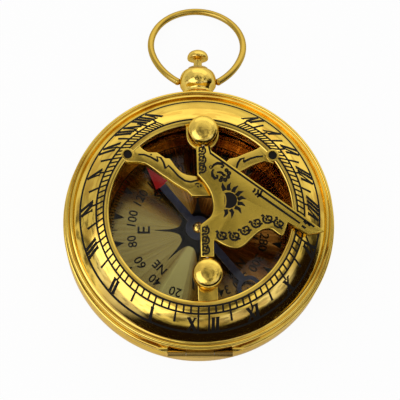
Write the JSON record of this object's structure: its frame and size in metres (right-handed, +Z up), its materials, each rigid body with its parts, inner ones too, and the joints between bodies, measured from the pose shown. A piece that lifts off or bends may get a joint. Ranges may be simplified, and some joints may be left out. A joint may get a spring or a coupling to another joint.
{
  "type": "pocket sundial compass",
  "caption": "Round pocket compass with a push-button hinged lid that is a domed sundial hour ring with a folding pierced gnomon, a pendant and a swinging bail.",
  "frame": {"origin": "centre of the case's flat base", "axes": "+Z up out of the dial, +Y from the hinge to the pendant and the bail, +X to the right seen from above with the pendant on top"},
  "size_m": [0.06, 0.0856, 0.0226],
  "materials": {
    "brass": "polished",
    "aged_brass": "satin",
    "card": "printed satin",
    "steel": "satin",
    "blued_steel": "blued",
    "glass": "clear"
  },
  "bodies": {
    "case": {"case_bowl": "brass", "case_knuckles": "brass", "hinge_pin": "steel", "lift_spring": "steel", "spring_screw": "steel", "compass_card": "card", "needle_pivot": "steel", "compass_ring": "brass", "compass_glass": "glass", "glass_bezel": "brass", "pendant": "brass", "stem_bush": "aged_brass", "button_spring": "steel"},
    "lid": {"hour_ring_lid": "brass", "lid_knuckle": "brass", "lid_catch": "brass", "upper_knob": "brass", "lower_knob": "brass", "knob_nuts": "aged_brass"},
    "gnomon": {"gnomon_plate": "aged_brass", "gnomon_pins": "steel"},
    "needle": {"compass_needle": "blued_steel", "needle_cap": "brass"},
    "button": {"push_button": "brass", "latch_hook": "steel"},
    "bail": {"bail": "brass"}
  },
  "joints": [
    {"name": "lid_hinge", "type": "hinge", "parent": "case", "child": "lid", "pos_m": [0, -0.0295, 0.0108], "axis": [1, 0, 0], "range_deg": [0, 95]},
    {"name": "gnomon_fold", "type": "hinge", "parent": "lid", "child": "gnomon", "pos_m": [0.00095, 0.0017, 0.0202], "axis": [0.0262, -0.9997, 0], "range_deg": [0, 180]},
    {"name": "needle_spin", "type": "hinge", "parent": "case", "child": "needle", "pos_m": [0, 0, 0.0048], "axis": [0, 0, 1], "continuous": true},
    {"name": "button_push", "type": "slide", "parent": "case", "child": "button", "axis": [0, -1, 0], "range_m": [0, 0.0009], "stiffness_N_per_m": 400, "springref_m": -0.002, "deforming": ["button_spring"]},
    {"name": "bail_swing", "type": "hinge", "parent": "case", "child": "bail", "pos_m": [0, 0.0339, 0.008], "axis": [1, 0, 0], "range_deg": [-90, 140]}
  ]
}
